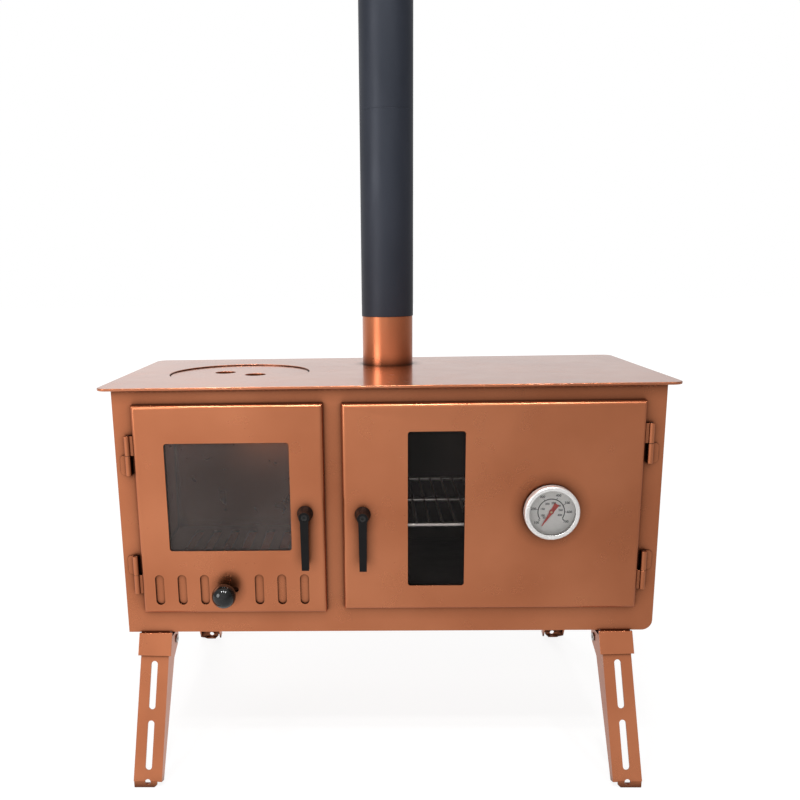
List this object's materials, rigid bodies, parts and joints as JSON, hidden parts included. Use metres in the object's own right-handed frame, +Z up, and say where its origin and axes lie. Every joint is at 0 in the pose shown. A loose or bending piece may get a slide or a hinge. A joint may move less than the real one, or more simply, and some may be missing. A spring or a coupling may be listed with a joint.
{
  "type": "folding camp oven",
  "caption": "Sheet steel camp stove with a firebox and an oven side by side, a hotplate with a lift-out lid, a sectional flue and folding legs.",
  "frame": {"origin": "on the floor under the middle of the body", "axes": "+X to the right as seen from the doors, +Y away from the doors to the back, +Z up along the flue"},
  "size_m": [0.6, 0.3666, 0.984],
  "materials": {
    "copper_coat": "satin copper-coloured heat-proof coating on sheet steel",
    "black_steel": "matt black heat-proof coating on sheet steel",
    "bright_steel": "bright steel",
    "polished_bezel": "polished",
    "blued_pipe": "satin blue-black sheet steel",
    "pane": "clear, slightly smoked",
    "rope": "woven rope seal",
    "black_handle": "satin black",
    "black_ball": "glossy black",
    "dial": "matt off-white with printed numbers",
    "needle": "red"
  },
  "bodies": {
    "stove_body": {"left_side_panel": "copper_coat", "floor_and_right_side": "copper_coat", "back_panel": "copper_coat", "front_frame": "copper_coat", "top_plate": "copper_coat", "weld_bead": "copper_coat", "hotplate_ring": "black_steel", "flue_collar": "copper_coat", "oven_box": "black_steel", "rack_runners": "black_steel", "oven_rack": "bright_steel", "grate_ledges": "black_steel", "fire_grate": "black_steel", "firebox_hinge_leaves": "copper_coat", "oven_hinge_leaves": "copper_coat", "firebox_hinge_pins": "bright_steel", "oven_hinge_pins": "bright_steel", "leg_brackets": "copper_coat", "leg_rivets": "black_steel"},
    "firebox_door": {"firebox_door_panel": "copper_coat", "firebox_glass": "pane", "firebox_glass_retainer": "black_steel", "firebox_glass_nuts": "bright_steel", "firebox_seal": "rope", "firebox_door_knuckles": "copper_coat", "vent_guide_studs": "bright_steel", "firebox_latch_bush": "bright_steel"},
    "vent_control": {"vent_slider": "copper_coat", "vent_knob_stem": "bright_steel", "vent_knob": "black_ball"},
    "firebox_latch": {"firebox_handle": "black_handle", "firebox_handle_screw": "black_steel", "firebox_latch_spindle": "bright_steel", "firebox_latch_tongue": "black_steel"},
    "oven_door": {"oven_door_panel": "copper_coat", "oven_glass": "pane", "oven_glass_retainer": "black_steel", "oven_glass_nuts": "bright_steel", "oven_seal": "rope", "oven_door_knuckles": "copper_coat", "oven_latch_bush": "bright_steel", "thermometer_case": "bright_steel", "thermometer_bezel": "polished_bezel", "thermometer_dial": "dial", "thermometer_lens": "pane", "thermometer_probe": "bright_steel", "thermometer_nut": "bright_steel"},
    "oven_latch": {"oven_handle": "black_handle", "oven_handle_screw": "black_steel", "oven_latch_spindle": "bright_steel", "oven_latch_tongue": "black_steel"},
    "dial_needle": {"thermometer_needle": "needle"},
    "lid": {"hotplate_lid": "copper_coat"},
    "flue_lower": {"flue_section_lower": "blued_pipe"},
    "flue_upper": {"flue_section_upper": "blued_pipe"},
    "leg_front_left": {"front_left_leg": "copper_coat"},
    "leg_front_right": {"front_right_leg": "copper_coat"},
    "leg_rear_left": {"rear_left_leg": "copper_coat"},
    "leg_rear_right": {"rear_right_leg": "copper_coat"}
  },
  "joints": [
    {"name": "firebox_door_hinge", "type": "hinge", "parent": "stove_body", "child": "firebox_door", "pos_m": [-0.2708, -0.1285, 0.292], "axis": [0, 0, -1], "range_deg": [0, 110]},
    {"name": "oven_door_hinge", "type": "hinge", "parent": "stove_body", "child": "oven_door", "pos_m": [0.2701, -0.1285, 0.292], "axis": [0, 0, 1], "range_deg": [0, 110]},
    {"name": "firebox_latch_turn", "type": "hinge", "parent": "firebox_door", "child": "firebox_latch", "pos_m": [-0.0868, -0.125, 0.2885], "axis": [0, 1, 0], "range_deg": [0, 90]},
    {"name": "oven_latch_turn", "type": "hinge", "parent": "oven_door", "child": "oven_latch", "pos_m": [-0.0264, -0.125, 0.287], "axis": [0, -1, 0], "range_deg": [0, 90]},
    {"name": "vent_slide", "type": "slide", "parent": "firebox_door", "child": "vent_control", "axis": [1, 0, 0], "range_m": [0, 0.0102]},
    {"name": "needle_turn", "type": "hinge", "parent": "oven_door", "child": "dial_needle", "pos_m": [0.169, -0.133, 0.2898], "axis": [0, 1, 0], "range_deg": [0, 270]},
    {"name": "hotplate_lift", "type": "slide", "parent": "stove_body", "child": "lid", "axis": [0, 0, 1], "range_m": [0, 0.05]},
    {"name": "flue_lower_lift", "type": "slide", "parent": "stove_body", "child": "flue_lower", "axis": [0, 0, 1], "range_m": [0, 0.04]},
    {"name": "flue_upper_lift", "type": "slide", "parent": "flue_lower", "child": "flue_upper", "axis": [0, 0, 1], "range_m": [0, 0.04]},
    {"name": "front_left_leg_fold", "type": "hinge", "parent": "stove_body", "child": "leg_front_left", "pos_m": [-0.2554, -0.098, 0.132], "axis": [0.9996, 0, -0.0297], "range_deg": [0, 110]},
    {"name": "front_right_leg_fold", "type": "hinge", "parent": "stove_body", "child": "leg_front_right", "pos_m": [0.2458, -0.098, 0.132], "axis": [0.9996, 0, 0.0297], "range_deg": [0, 110]},
    {"name": "rear_left_leg_fold", "type": "hinge", "parent": "stove_body", "child": "leg_rear_left", "pos_m": [-0.2554, 0.098, 0.132], "axis": [0.9996, 0, -0.0297], "range_deg": [-110, 0]},
    {"name": "rear_right_leg_fold", "type": "hinge", "parent": "stove_body", "child": "leg_rear_right", "pos_m": [0.2458, 0.098, 0.132], "axis": [0.9996, 0, 0.0297], "range_deg": [-110, 0]}
  ]
}
